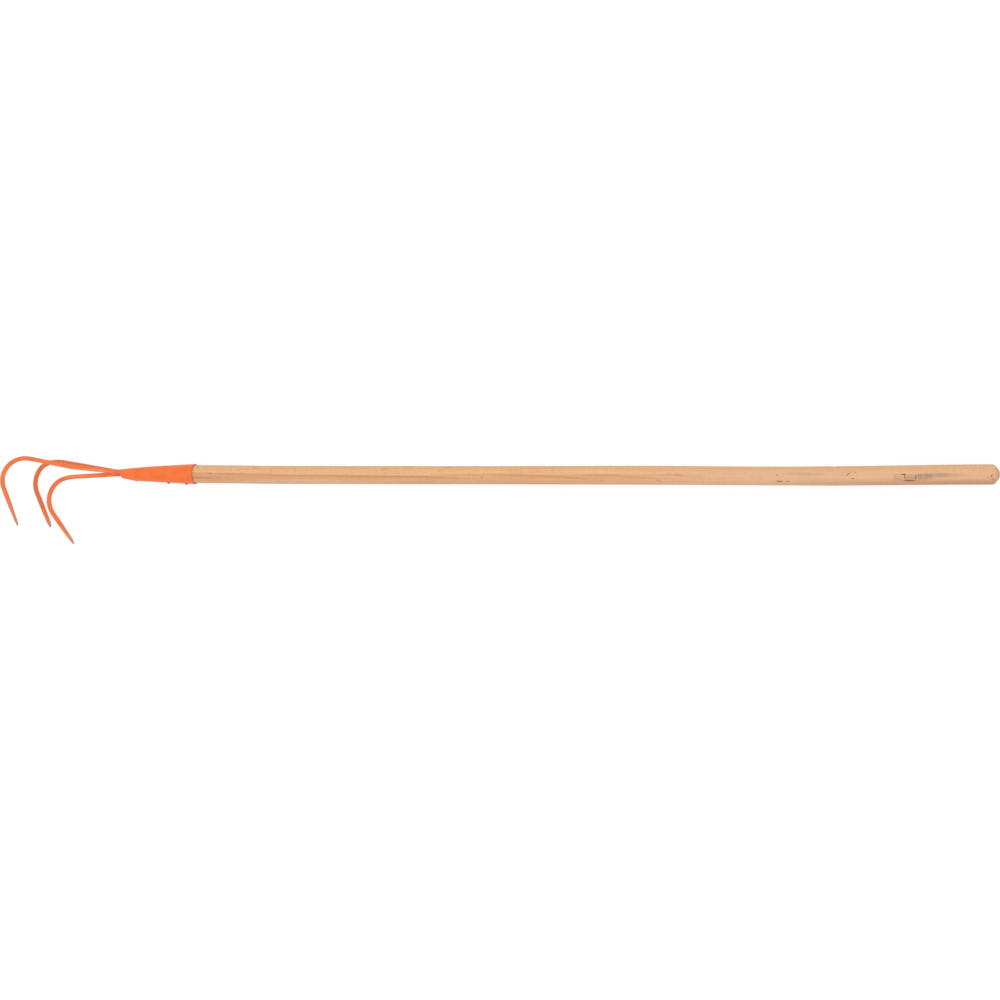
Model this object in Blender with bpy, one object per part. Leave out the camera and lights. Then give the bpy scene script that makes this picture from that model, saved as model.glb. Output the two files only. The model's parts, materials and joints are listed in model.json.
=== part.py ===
"""Three prong cultivator: a long wooden handle in a rolled steel socket that grips three bent rods.

Units are metres. The tool lies on its side, as it rests on a floor: +X runs from the prongs to the
butt of the handle, +Y is the back of the tool, away from which the hooks point, and +Z is up.
Each piece is modelled about the socket's axis, with x = 0 at the socket's mouth. One empty then
tips the whole tool on to its right prong and its butt, and brings the middle of its box to x = y = 0.
"""

import math

import bmesh
import bpy
from mathutils import Matrix, Vector

# Clearances
CLEARANCE = 0.0003          # gap kept between pieces that touch on the real tool
ROD_GAP = 0.0004            # gap kept between the centre rod and its neighbours in the neck
NOSE_GAP = 0.010            # hollow between the handle's nose and the roots of the rods

# Handle: a turned hardwood shaft, a little bowed, with a long taper driven into the socket
HANDLE_REACH = 1.126        # length outside the socket, from its mouth to the butt
HANDLE_WAIST_DIAMETER = 0.0258
HANDLE_WAIST_START = 0.14   # distance from the mouth at which the shaft reaches its waist
HANDLE_BUTT_DIAMETER = 0.0271
HANDLE_SWELL_LENGTH = 0.366     # length over which it swells to the butt
HANDLE_SET = 0.0008         # from its waist on, the shaft lies this far to the hook side of the socket's axis
HANDLE_BOW = 0.0008         # bow over the whole length
HANDLE_GRIP_BOW = 0.0013    # second bow, of the grip alone
HANDLE_GRIP_LENGTH = 0.505
BUTT_CHAMFER = 0.0088       # length of the rounded chamfer at the butt
BUTT_FLAT_DIAMETER = 0.0080
BUTT_CROWN = 0.86           # below 1 the chamfer bulges outwards
NOSE_CHAMFER = 0.003

# Socket: sheet steel rolled to a cone, with its far end pinched round the three rods
SOCKET_LENGTH = 0.118       # mouth to the upper lip of the neck
SOCKET_MOUTH_DIAMETER = 0.0294
SOCKET_WALL = 0.0012
SOCKET_SEAM = 0.0005        # slit between the rolled edges, along the back
PINCH_BACK_LENGTH = 0.045   # length over which the round cone turns into the neck, along its back
PINCH_LENGTH = 0.026        # the same along its underside
PINCH_DEPTH = 0.0005        # how far the neck is pinched in from the line of the cone
NECK_SLACK = 0.0012         # the neck's underside stands this much clear of the centre rod
LIP_WALL = 0.0007           # the wall is beaten thin at the neck's lip
LIP_LENGTH = 0.006
NECK_SLANT = 0.0045         # the lip's underside stops this much short of its back
BELT_SOFTNESS = 0.0008      # how loosely the neck's outline goes from rod to rod

# Prongs: round rod, bent by hand; angles are in degrees
ROD_DIAMETER = 0.0066
ROD_VALLEY = 0.0058         # gap between the outer rods, over which the centre rod nests
ROD_LIFT = 0.0032           # height of the outer rods above the socket's axis
ROOT_PAST_PLUG = 0.007      # the rods' roots reach this far past the plug weld
NECK_BEND_INSIDE = 0.001    # the rods start to part this far inside the lip
NECK_BEND_RADIUS = 0.025

LEFT_SPLAY = 13.4
LEFT_RISE = 5.9
LEFT_RUN = 0.1132           # length of the shank
LEFT_KINK_AT = 0.0585       # distance along the shank of its slight upward kink
LEFT_KINK = 5.0
LEFT_EASE = 3.2             # first, gentle part of the bend
LEFT_BEND_RADIUS = 0.0327
LEFT_BEND = 121.6           # the whole bend
LEFT_HOOK = 0.0591          # straight length from the bend to the point
LEFT_THICKNESS = 0.0043     # of its hammered flat
LEFT_WIDTH = 0.0084         # of its hammered flat

RIGHT_SPLAY = 13.9
RIGHT_RISE = 8.7
RIGHT_RUN = 0.1010
RIGHT_EASE = 22.6
RIGHT_BEND_RADIUS = 0.0314
RIGHT_BEND = 126.2
RIGHT_HOOK = 0.0589
RIGHT_THICKNESS = 0.0053
RIGHT_WIDTH = 0.0074

CENTRE_FALL = 3.1
CENTRE_RUN = 0.0692
CENTRE_EASE = 12.0
CENTRE_BEND_RADIUS = 0.0336
CENTRE_BEND = 124.0
CENTRE_HOOK = 0.0561
CENTRE_THICKNESS = 0.0050
CENTRE_WIDTH = 0.0076

KINK_RADIUS = 0.080
EASE_RADIUS = 0.080

# Forged points of the prongs
FORGED_LENGTH = 0.042       # length hammered flat, up to the very point
FORGED_SQUARENESS = 1.0     # 0 keeps the flat's section oval, 1 squares its corners
POINT_LENGTH = 0.012
POINT_END = 0.0010          # thickness and width of the blunt extreme end
POINT_CROWN = 0.8           # below 1 the point's edges bulge outwards

# Welds and nails
BEAD_LENGTH = 0.0042        # length of the weld bead in front of the neck
BEAD_HEIGHT = 0.0004        # its height over the rods
BEAD_PROFILE = ((0.0, 0.75), (0.3, 1.0), (0.65, 0.85), (1.0, 0.45))     # shares of both, from the lip
PLUG_FROM_LIP = 0.0271
PLUG_DIAMETER = 0.0052
PLUG_CAP_RIM = 0.0007       # the plug weld's cap overlaps its hole by this much
PLUG_CAP_HEIGHT = 0.0009
MOUTH_NAIL_FROM_MOUTH = 0.0136
NAIL_SPACING = 0.0276
NAIL_DIAMETER = 0.0028
NAIL_LENGTH = 0.018         # below the head
NAIL_POINT = 0.004
NAIL_TIP_DIAMETER = 0.0006
NAIL_HEAD_RIM = 0.0011      # the head overlaps the shank by this much
NAIL_HEAD_HEIGHT = 0.0014

# Smoothness of the round shapes
HANDLE_SIDES = 40
HANDLE_STEP = 0.050         # each step is the longest from ring to ring
BUTT_SHARES = (0.75, 0.5, 0.25, 0.1, 0.0)   # rings on the chamfer, as shares of its length
SOCKET_SIDES = 48
CONE_STEP = 0.030
PINCH_STEP = 0.0026
SLOPE_STEP = 0.0005         # distance over which the socket's slope is measured
ROD_SIDES = 16
STRAIGHT_STEP = 0.025
BEND_STEP = 7.5             # degrees
HOOK_STEP = 0.006
POINT_STEP = 0.003
SMALL_SIDES = 20
DOME_STEPS = 4
SMOOTH_ANGLE = math.radians(35)
REST_ROUNDS = 6             # steps that find the line under the prong and the handle

rod_radius = ROD_DIAMETER / 2
rod_spread = (ROD_DIAMETER + ROD_VALLEY) / 2
rod_drop = math.sqrt(max((ROD_DIAMETER + ROD_GAP) ** 2 - rod_spread ** 2, 0.0))
left_root = Vector((ROD_LIFT, rod_spread))
right_root = Vector((ROD_LIFT, -rod_spread))
centre_root = Vector((ROD_LIFT - rod_drop, 0.0))
root_length = PLUG_FROM_LIP + ROOT_PAST_PLUG

socket_radius = SOCKET_MOUTH_DIAMETER / 2
neck_x = -SOCKET_LENGTH
neck_radius = rod_radius + CLEARANCE + SOCKET_WALL
cone_end_height = ROD_LIFT + neck_radius + PINCH_DEPTH
cone_end_width = rod_spread + neck_radius + PINCH_DEPTH

handle_seat = SOCKET_LENGTH - root_length - NOSE_GAP
plug_x = neck_x + PLUG_FROM_LIP
mouth_nail_x = -MOUTH_NAIL_FROM_MOUTH
inner_nail_x = mouth_nail_x - NAIL_SPACING


def clear_scene():
    for old in list(bpy.data.objects):
        bpy.data.objects.remove(old, do_unlink=True)


def smooth_step(t):
    """0 to 1 with a level start and end."""
    t = min(max(t, 0.0), 1.0)
    return t * t * (3 - 2 * t)


def stations(start, end, step):
    """Even values from start to end, both included, at most a step apart."""
    count = max(1, math.ceil(abs(end - start) / step))
    return [start + (end - start) * i / count for i in range(count + 1)]


def turns(sides):
    return [2 * math.pi * i / sides for i in range(sides)]


def principled(name, colour, roughness, metallic=0.0):
    material = bpy.data.materials.new(name)
    material.use_nodes = True
    shader = material.node_tree.nodes["Principled BSDF"]
    shader.inputs["Base Color"].default_value = (*colour, 1.0)
    shader.inputs["Roughness"].default_value = roughness
    shader.inputs["Metallic"].default_value = metallic
    return material


def object_from(name, body, material):
    """A smooth shaded object from a bmesh, its faces pointing out."""
    bmesh.ops.recalc_face_normals(body, faces=body.faces)
    mesh = bpy.data.meshes.new(name)
    body.to_mesh(mesh)
    body.free()
    mesh.shade_smooth()
    mesh.set_sharp_from_angle(angle=SMOOTH_ANGLE)
    made = bpy.data.objects.new(name, mesh)
    mesh.materials.append(material)
    bpy.context.collection.objects.link(made)
    return made


def skin_rings(rings):
    """A closed body through rings of points, with a flat face over each end."""
    body = bmesh.new()
    loops = [[body.verts.new(point) for point in ring] for ring in rings]
    sides = len(loops[0])
    for near, far in zip(loops, loops[1:]):
        for i in range(sides):
            j = (i + 1) % sides
            body.faces.new((near[i], near[j], far[j], far[i]))
    body.faces.new(loops[0])
    body.faces.new(loops[-1])
    return body


def turned(profile, sides):
    """Rings of a turned shape about +Z, from pairs of radius and height."""
    rings = []
    for radius, height in profile:
        rings.append([Vector((radius * math.cos(a), radius * math.sin(a), height)) for a in turns(sides)])
    return rings


def cut(target, cutters):
    """Boolean differences, each by a guide object that is not part of the tool."""
    for cutter in cutters:
        cutter.hide_render = True
        cutter.display_type = "WIRE"
        difference = target.modifiers.new("cut_" + cutter.name, "BOOLEAN")
        difference.operation = "DIFFERENCE"
        difference.solver = "EXACT"
        difference.object = cutter


# Socket

def cone_half_height(x):
    """Outer half height of the rolled cone at x, which is round at its mouth."""
    return socket_radius + (cone_end_height - socket_radius) * x / neck_x


def cone_half_width(x):
    return socket_radius + (cone_end_width - socket_radius) * x / neck_x


def pinch(x, length):
    """0 on the plain cone, 1 at the neck's lip."""
    return smooth_step((neck_x + length - x) / length)


def belt_centre(angle, slack):
    """Centre of the rod that a belt round the three rods touches at this angle."""
    normal = Vector((math.cos(angle), math.sin(angle)))
    roots = (left_root, right_root, Vector((centre_root.x - slack, 0.0)))
    reach = [root.dot(normal) for root in roots]
    weights = [math.exp((r - max(reach)) / BELT_SOFTNESS) for r in reach]
    total = sum(weights)
    return sum((root * w for root, w in zip(roots, weights)), Vector((0, 0))) / total


def socket_point(x, angle, depth):
    """A point of the socket's section at x, depth below its outer surface, in y and z."""
    normal = Vector((math.cos(angle), math.sin(angle)))
    cone = Vector((cone_half_height(x) * normal.x, cone_half_width(x) * normal.y))
    belt = belt_centre(angle, NECK_SLACK) + neck_radius * normal
    length = PINCH_LENGTH + (PINCH_BACK_LENGTH - PINCH_LENGTH) * (1 + normal.x) / 2
    return cone.lerp(belt, pinch(x, length)) - depth * normal


def wall_at(x):
    """Wall thickness, thinned towards the lip."""
    share = smooth_step((neck_x + LIP_LENGTH - x) / LIP_LENGTH)
    return SOCKET_WALL + (LIP_WALL - SOCKET_WALL) * share


def lip_setback(x, y):
    """How far the slanted lip draws a point back towards the mouth."""
    top = left_root.x + neck_radius
    bottom = centre_root.x - NECK_SLACK - neck_radius
    return NECK_SLANT * pinch(x, PINCH_LENGTH) * (top - y) / (top - bottom)


def socket_ring(x, wall):
    """The rolled sheet's section: round the outside from the seam, and back along the inside."""
    ring = []
    outward = turns(SOCKET_SIDES) + [2 * math.pi]
    for depth, order in ((SOCKET_WALL - wall, outward), (SOCKET_WALL, list(reversed(outward)))):
        for angle in order:
            y, z = socket_point(x, angle, depth)
            if angle == outward[0]:
                z = SOCKET_SEAM / 2
            elif angle == outward[-1]:
                z = -SOCKET_SEAM / 2
            ring.append(Vector((x + lip_setback(x, y), y, z)))
    return ring


def socket_stations():
    """Distances along the axis: a few on the plain cone, more on the pinch and the lip."""
    pinch_x = neck_x + max(PINCH_LENGTH, PINCH_BACK_LENGTH)
    lip_x = neck_x + LIP_LENGTH
    cone = stations(0, pinch_x, CONE_STEP)
    pinched = stations(pinch_x, lip_x, PINCH_STEP)
    return cone[:-1] + pinched[:-1] + stations(lip_x, neck_x, PINCH_STEP)


def make_socket(material):
    body = bmesh.new()
    loops = []
    for x in socket_stations():
        loops.append([body.verts.new(point) for point in socket_ring(x, wall_at(x))])
    around = len(loops[0])
    for near, far in zip(loops, loops[1:]):
        for i in range(around):
            j = (i + 1) % around
            body.faces.new((near[i], near[j], far[j], far[i]))
    for loop in (loops[0], loops[-1]):
        for i in range(SOCKET_SIDES):
            body.faces.new((loop[i], loop[i + 1], loop[around - 2 - i], loop[around - 1 - i]))
    return object_from("socket", body, material)


# Handle

def seat_radius(x):
    """Radius of the handle's taper, which fills the round part of the socket."""
    return min(cone_half_height(x), cone_half_width(x)) - SOCKET_WALL - CLEARANCE


def handle_radius(x):
    """Radius of the shaft outside the socket."""
    mouth = seat_radius(0)
    waist = HANDLE_WAIST_DIAMETER / 2
    butt = HANDLE_BUTT_DIAMETER / 2
    thinned = mouth + (waist - mouth) * smooth_step(x / HANDLE_WAIST_START)
    swell = 1 - (HANDLE_REACH - x) / HANDLE_SWELL_LENGTH
    return thinned + (butt - waist) * smooth_step(swell)


def handle_bow(x):
    """How far the shaft's centre dips to the hook side of the socket's axis."""
    aside = HANDLE_SET * smooth_step(x / HANDLE_WAIST_START)
    whole = HANDLE_BOW * math.sin(math.pi * max(x, 0.0) / HANDLE_REACH)
    along_grip = max(1 - (HANDLE_REACH - x) / HANDLE_GRIP_LENGTH, 0.0)
    return aside + whole + HANDLE_GRIP_BOW * math.sin(math.pi * along_grip) ** 2


def handle_ring(x, radius):
    centre = -handle_bow(x)
    return [Vector((x, centre + radius * math.cos(a), radius * math.sin(a))) for a in turns(HANDLE_SIDES)]


def make_handle(material):
    nose = -handle_seat
    shoulder = HANDLE_REACH - BUTT_CHAMFER
    flat = BUTT_FLAT_DIAMETER / 2
    rings = [handle_ring(nose, seat_radius(nose) - NOSE_CHAMFER)]
    for x in stations(nose + NOSE_CHAMFER, 0, HANDLE_STEP):
        rings.append(handle_ring(x, seat_radius(x)))
    waisted = stations(CLEARANCE, HANDLE_WAIST_START, HANDLE_STEP)
    for x in waisted + stations(HANDLE_WAIST_START, shoulder, HANDLE_STEP)[1:]:
        rings.append(handle_ring(x, handle_radius(x)))
    for share in BUTT_SHARES:
        radius = flat + (handle_radius(shoulder) - flat) * share ** BUTT_CROWN
        rings.append(handle_ring(HANDLE_REACH - BUTT_CHAMFER * share, radius))
    return object_from("handle", skin_rings(rings), material)


# Prongs

class RodPath:
    """The centreline of one rod, bent piece by piece from its root in the neck."""

    def __init__(self, root, splay, rise, flat_thickness, flat_width):
        """splay turns the shank to the tool's left and rise lifts it to its back, in degrees."""
        self.flat_thickness = flat_thickness
        self.flat_width = flat_width
        splay = math.radians(splay)
        self.level = Vector((-math.cos(splay), 0, math.sin(splay)))
        self.back = Vector((0, 1, 0))
        self.climb = math.radians(rise)
        self.points = [Vector((neck_x + root_length, root.x, root.y))]
        self.sides = [Vector((0, 0, -1))]
        self.extend(Vector((neck_x + NECK_BEND_INSIDE, root.x, root.y)), self.sides[0], STRAIGHT_STEP)
        self.leave_neck()

    def extend(self, end, side, step):
        start = self.points[-1].copy()
        for along in stations(0, (end - start).length, step)[1:]:
            self.points.append(start + (end - start).normalized() * along)
            self.sides.append(side)

    def heading(self, climb):
        return math.cos(climb) * self.level + math.sin(climb) * self.back

    def across(self):
        """The level direction square to the rod's own plane."""
        return self.level.cross(self.back)

    def leave_neck(self):
        """The bend at the neck, from the socket's axis to the shank's own heading."""
        along = Vector((-1, 0, 0))
        away = self.heading(self.climb)
        angle = along.angle(away)
        if angle == 0:
            return
        aside = (away - away.dot(along) * along).normalized()
        start = self.points[-1].copy()
        for turn in stations(0, angle, math.radians(BEND_STEP))[1:]:
            shift = math.sin(turn) * along + (1 - math.cos(turn)) * aside
            self.points.append(start + NECK_BEND_RADIUS * shift)
            tangent = math.cos(turn) * along + math.sin(turn) * aside
            self.sides.append(tangent.cross(self.back).normalized())

    def straight(self, length, step=STRAIGHT_STEP):
        self.extend(self.points[-1] + length * self.heading(self.climb), self.across(), step)

    def bend(self, degrees, radius):
        """A bend in the rod's own plane: positive turns towards the hook."""
        quarter = math.copysign(math.pi / 2, degrees)
        centre = self.points[-1] + radius * self.heading(self.climb - quarter)
        start = self.climb
        for turn in stations(0, degrees, BEND_STEP)[1:]:
            self.climb = start - math.radians(turn)
            self.points.append(centre - radius * self.heading(self.climb - quarter))
            self.sides.append(self.across())

    def hook(self, length):
        """The straight hook, stepped more finely for its forged point."""
        self.straight(length - POINT_LENGTH, HOOK_STEP)
        self.straight(POINT_LENGTH, POINT_STEP)


def tip_distances(points):
    """Distance of each point of a path from its end, along the path."""
    left = [0.0]
    for near, far in zip(reversed(points[:-1]), reversed(points[1:])):
        left.append(left[-1] + (far - near).length)
    return list(reversed(left))


def forged_half_size(flat, distance):
    """Half of a prong's size across, this far from its point, where its hammered flat measures flat."""
    if distance < POINT_LENGTH:
        return (POINT_END + (flat - POINT_END) * (distance / POINT_LENGTH) ** POINT_CROWN) / 2
    return rod_radius + (flat / 2 - rod_radius) * flattening(distance)


def flattening(distance):
    """0 on the round rod, 1 from where its point begins."""
    return smooth_step((FORGED_LENGTH - distance) / (FORGED_LENGTH - POINT_LENGTH))


def rod_ring(centre, tangent, side, half_thickness, half_width, squareness):
    """A ring across the rod: a circle, or a rounded flat where it is forged."""
    normal = side.cross(tangent).normalized()
    power = 2 / (2 + squareness)
    ring = []
    for turn in turns(ROD_SIDES):
        angle = turn + math.pi / ROD_SIDES
        c = math.cos(angle)
        s = math.sin(angle)
        wide = half_width * math.copysign(abs(c) ** power, c)
        thick = half_thickness * math.copysign(abs(s) ** power, s)
        ring.append(centre + wide * side + thick * normal)
    return ring


def rod_body(path, growth=0.0, forged=True):
    """The rod along a path; growth makes the same rod fatter, as a cutter needs."""
    points = path.points
    rings = []
    for i, (centre, distance) in enumerate(zip(points, tip_distances(points))):
        tangent = (points[min(i + 1, len(points) - 1)] - points[max(i - 1, 0)]).normalized()
        thickness, width, squareness = rod_radius, rod_radius, 0.0
        if forged:
            thickness = forged_half_size(path.flat_thickness, distance)
            width = forged_half_size(path.flat_width, distance)
            squareness = FORGED_SQUARENESS * flattening(distance)
        side = path.sides[i]
        rings.append(rod_ring(centre, tangent, side, thickness + growth, width + growth, squareness))
    return skin_rings(rings)


def left_path():
    path = RodPath(left_root, LEFT_SPLAY, LEFT_RISE, LEFT_THICKNESS, LEFT_WIDTH)
    path.straight(LEFT_KINK_AT)
    path.bend(-LEFT_KINK, KINK_RADIUS)
    path.straight(LEFT_RUN - LEFT_KINK_AT)
    path.bend(LEFT_EASE, EASE_RADIUS)
    path.bend(LEFT_BEND - LEFT_EASE, LEFT_BEND_RADIUS)
    path.hook(LEFT_HOOK)
    return path


def right_path():
    path = RodPath(right_root, -RIGHT_SPLAY, RIGHT_RISE, RIGHT_THICKNESS, RIGHT_WIDTH)
    path.straight(RIGHT_RUN)
    path.bend(RIGHT_EASE, EASE_RADIUS)
    path.bend(RIGHT_BEND - RIGHT_EASE, RIGHT_BEND_RADIUS)
    path.hook(RIGHT_HOOK)
    return path


def centre_path():
    path = RodPath(centre_root, 0.0, -CENTRE_FALL, CENTRE_THICKNESS, CENTRE_WIDTH)
    path.straight(CENTRE_RUN)
    path.bend(CENTRE_EASE, EASE_RADIUS)
    path.bend(CENTRE_BEND - CENTRE_EASE, CENTRE_BEND_RADIUS)
    path.hook(CENTRE_HOOK)
    return path


# Welds and nails

def make_neck_weld(paths, material):
    """A bead of weld in front of the lip that fills the valleys between the three rods."""
    rings = []
    for share, height in BEAD_PROFILE:
        x = neck_x - CLEARANCE - BEAD_LENGTH * share
        radius = rod_radius + CLEARANCE + BEAD_HEIGHT * height
        ring = []
        for angle in turns(SOCKET_SIDES):
            y, z = belt_centre(angle, 0.0) + radius * Vector((math.cos(angle), math.sin(angle)))
            ring.append(Vector((x + lip_setback(neck_x, y), y, z)))
        rings.append(ring)
    weld = object_from("neck_weld", skin_rings(rings), material)
    cutters = []
    for i, path in enumerate(paths):
        body = rod_body(path, growth=CLEARANCE, forged=False)
        cutters.append(object_from("weld_cutter_%d" % i, body, material))
    cut(weld, cutters)
    return weld


def underside(x):
    """The matrix that stands a turned piece on the socket's underside at x."""
    here = Vector((x, -abs(socket_point(x, math.pi, 0.0).x), 0))
    there = Vector((x + SLOPE_STEP, -abs(socket_point(x + SLOPE_STEP, math.pi, 0.0).x), 0))
    setback = Vector((lip_setback(x, here.y), 0, 0))
    along = (there - here).normalized()
    outward = Vector((along.y, -along.x, 0))
    across = outward.cross(along)
    turn = Matrix((along, across, outward)).transposed().to_4x4()
    return Matrix.Translation(here + setback) @ turn


def standing_on_socket(name, profile, x, material):
    body = skin_rings(turned(profile, SMALL_SIDES))
    bmesh.ops.transform(body, matrix=underside(x), verts=body.verts)
    return object_from(name, body, material)


def dome(radius, height, base):
    """Profile of a low dome: pairs of radius and height, from its rim to near its crown."""
    quarter = [math.pi / 2 * i / DOME_STEPS for i in range(DOME_STEPS)]
    return [(radius * math.cos(angle), base + height * math.sin(angle)) for angle in quarter]


def make_nail(name, x, material):
    shank = NAIL_DIAMETER / 2
    tip = NAIL_TIP_DIAMETER / 2
    profile = [(tip, -NAIL_LENGTH), (shank, NAIL_POINT - NAIL_LENGTH), (shank, CLEARANCE)]
    profile += dome(shank + NAIL_HEAD_RIM, NAIL_HEAD_HEIGHT, CLEARANCE)
    return standing_on_socket(name, profile, x, material)


def make_nail_hole(name, x, material):
    shank = NAIL_DIAMETER / 2 + CLEARANCE
    tip = NAIL_TIP_DIAMETER / 2 + CLEARANCE
    depth = NAIL_LENGTH + CLEARANCE
    profile = [(tip, -depth), (shank, NAIL_POINT - depth), (shank, NAIL_HEAD_HEIGHT)]
    return standing_on_socket(name, profile, x, material)


def plug_depth():
    """From the socket's outer surface in to the centre rod."""
    surface = abs(socket_point(plug_x, math.pi, 0.0).x)
    return surface + centre_root.x - rod_radius


def make_plug_weld(material):
    plug = PLUG_DIAMETER / 2
    profile = [(plug, CLEARANCE - plug_depth()), (plug, CLEARANCE)]
    profile += dome(plug + PLUG_CAP_RIM, PLUG_CAP_HEIGHT, CLEARANCE)
    return standing_on_socket("plug_weld", profile, plug_x, material)


def make_plug_hole(material):
    radius = PLUG_DIAMETER / 2 + CLEARANCE
    profile = [(radius, -plug_depth()), (radius, PLUG_CAP_HEIGHT)]
    return standing_on_socket("plug_hole", profile, plug_x, material)


# Rest

def resting_slope(handle, prong):
    """Slope of the line that touches the prong and the handle from below."""
    slope = 0.0
    for _ in range(REST_ROUNDS):
        front = min((v.co for v in prong.data.vertices), key=lambda p: p.z - slope * p.x)
        rear = min((v.co for v in handle.data.vertices), key=lambda p: p.z - slope * p.x)
        slope = (rear.z - front.z) / (rear.x - front.x)
    return slope


def lay_on_side(pieces, handle, lower_prong):
    """Tips the tool on to its butt and its lower prong, and centres its box over the origin."""
    tip = Matrix.Rotation(math.atan(resting_slope(handle, lower_prong)), 4, "Y")
    corners = [tip @ v.co for piece in pieces for v in piece.data.vertices]
    low = Vector(min(c[i] for c in corners) for i in range(3))
    high = Vector(max(c[i] for c in corners) for i in range(3))
    rest = bpy.data.objects.new("rest_frame", None)
    bpy.context.collection.objects.link(rest)
    rest.matrix_world = Matrix.Translation((-(low.x + high.x) / 2, -(low.y + high.y) / 2, -low.z)) @ tip
    for piece in bpy.data.objects:
        if piece is not rest:
            piece.parent = rest


def main():
    clear_scene()
    wood = principled("oiled_beech", (0.72, 0.44, 0.25), 0.55)
    paint = principled("orange_enamel", (0.95, 0.20, 0.055), 0.35)
    weld_paint = principled("enamel_over_weld", (0.85, 0.17, 0.045), 0.45)
    nail_steel = principled("nail_steel", (0.25, 0.20, 0.18), 0.5, 0.9)

    paths = [left_path(), right_path(), centre_path()]
    handle = make_handle(wood)
    socket = make_socket(paint)
    left = object_from("left_prong", rod_body(paths[0]), paint.copy())
    right = object_from("right_prong", rod_body(paths[1]), paint.copy())
    centre = object_from("centre_prong", rod_body(paths[2]), paint.copy())
    neck_weld = make_neck_weld(paths, weld_paint)
    plug_weld = make_plug_weld(weld_paint.copy())
    mouth_nail = make_nail("mouth_nail", mouth_nail_x, nail_steel)
    inner_nail = make_nail("inner_nail", inner_nail_x, nail_steel.copy())

    nail_holes = [
        make_nail_hole("mouth_nail_hole", mouth_nail_x, paint),
        make_nail_hole("inner_nail_hole", inner_nail_x, paint),
    ]
    cut(socket, nail_holes + [make_plug_hole(paint)])
    cut(handle, nail_holes)

    pieces = [handle, socket, left, right, centre, neck_weld, plug_weld, mouth_nail, inner_nail]
    lay_on_side(pieces, handle, right)


main()
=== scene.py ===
"""Three prong cultivator, dressed over its CAD model. Lengths are in metres.

The tool lies on its side on a white floor. Each piece is modelled about the socket's axis, with
x = 0 at the socket's mouth, +X towards the butt, +Y the back of the tool and +Z the side that faces
up, and is then laid down in its place.
"""

import json
import math

import bpy
from mathutils import Euler, Matrix, Vector


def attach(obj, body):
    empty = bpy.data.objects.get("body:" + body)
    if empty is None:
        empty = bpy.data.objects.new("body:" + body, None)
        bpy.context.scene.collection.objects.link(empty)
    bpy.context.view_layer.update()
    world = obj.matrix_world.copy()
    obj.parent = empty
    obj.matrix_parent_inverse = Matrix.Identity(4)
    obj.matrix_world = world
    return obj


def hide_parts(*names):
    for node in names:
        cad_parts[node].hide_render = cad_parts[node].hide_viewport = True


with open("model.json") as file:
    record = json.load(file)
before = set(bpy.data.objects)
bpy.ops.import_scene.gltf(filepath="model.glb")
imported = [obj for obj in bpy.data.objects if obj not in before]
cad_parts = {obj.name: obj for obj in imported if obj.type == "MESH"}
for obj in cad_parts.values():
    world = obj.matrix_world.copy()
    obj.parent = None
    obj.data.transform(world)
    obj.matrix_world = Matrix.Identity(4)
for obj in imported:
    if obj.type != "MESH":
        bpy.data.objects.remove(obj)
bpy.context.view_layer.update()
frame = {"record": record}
bpy.ops.object.select_all(action="DESELECT")


# Camera
# The photograph was taken from straight above the tool, 1.9 m over it, with the handle level across
# the picture. tool_rest lays the tool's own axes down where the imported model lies.
butt_mount = next(m for m in frame["record"]["mounts"] if m["name"] == "butt_end")
handle_reach = 1.126
handle_sag = 0.0008             # how far the butt's centre lies to the hook side of that axis
handle_axis = Vector(butt_mount["axis"])
socket_mouth = Vector(butt_mount["pos_m"]) - handle_reach * handle_axis + Vector((0, handle_sag, 0))
tilt = math.atan2(-handle_axis.z, handle_axis.x)
tool_rest = Matrix.Translation(socket_mouth) @ Matrix.Rotation(tilt, 4, "Y")

camera_turn = Euler([math.radians(degrees) for degrees in (1.012317, 8.995714, 0.330076)])
camera_over_tool = Matrix.LocRotScale(Vector((0.74972, -0.06853, 1.88182)), camera_turn, None)
camera = bpy.data.objects.new("camera", bpy.data.cameras.new("camera"))
camera.data.sensor_width = 36.0
camera.data.lens = 48.6
camera.matrix_world = tool_rest @ camera_over_tool
bpy.context.collection.objects.link(camera)
bpy.context.scene.camera = camera


# Floor and light
# A sheet of white studio paper under one big soft lamp, in a room that is dim near the horizon. The
# camera sees most of the paper's white as its own, which keeps the tool's shadow faint.
def add_node(tree, kind, links=(), stops=(), **settings):
    """Adds one node. links gives its inputs, each an output to join or a plain value, and stops
    gives a ramp's places and colours.
    """
    made = tree.nodes.new(kind)
    for name, value in settings.items():
        setattr(made, name, value)
    for socket, value in dict(links).items():
        if isinstance(value, bpy.types.NodeSocket):
            tree.links.new(value, made.inputs[socket])
        else:
            made.inputs[socket].default_value = value
    if stops:
        elements = made.color_ramp.elements
        while len(elements) < len(stops):
            elements.new(1.0)
        for element, (position, colour) in zip(elements, stops):
            element.position = position
            element.color = colour
    return made


def linear(code):
    """The linear colour of an sRGB hex code."""
    shares = [int(code[i:i + 2], 16) / 255 for i in (0, 2, 4)]
    return [s / 12.92 if s <= 0.04045 else ((s + 0.055) / 1.055) ** 2.4 for s in shares] + [1.0]


def plain_rays(tree):
    """1 for the rays that see the white surroundings: the camera's, mirrors' and glass's."""
    path = add_node(tree, "ShaderNodeLightPath")
    seen = path.outputs["Is Camera Ray"]
    for other in ("Is Glossy Ray", "Is Transmission Ray"):
        seen = add_node(tree, "ShaderNodeMath", {0: seen, 1: path.outputs[other]},
                        operation="MAXIMUM").outputs[0]
    return seen


scene = bpy.context.scene
scene.view_settings.view_transform = "Standard"

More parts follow.
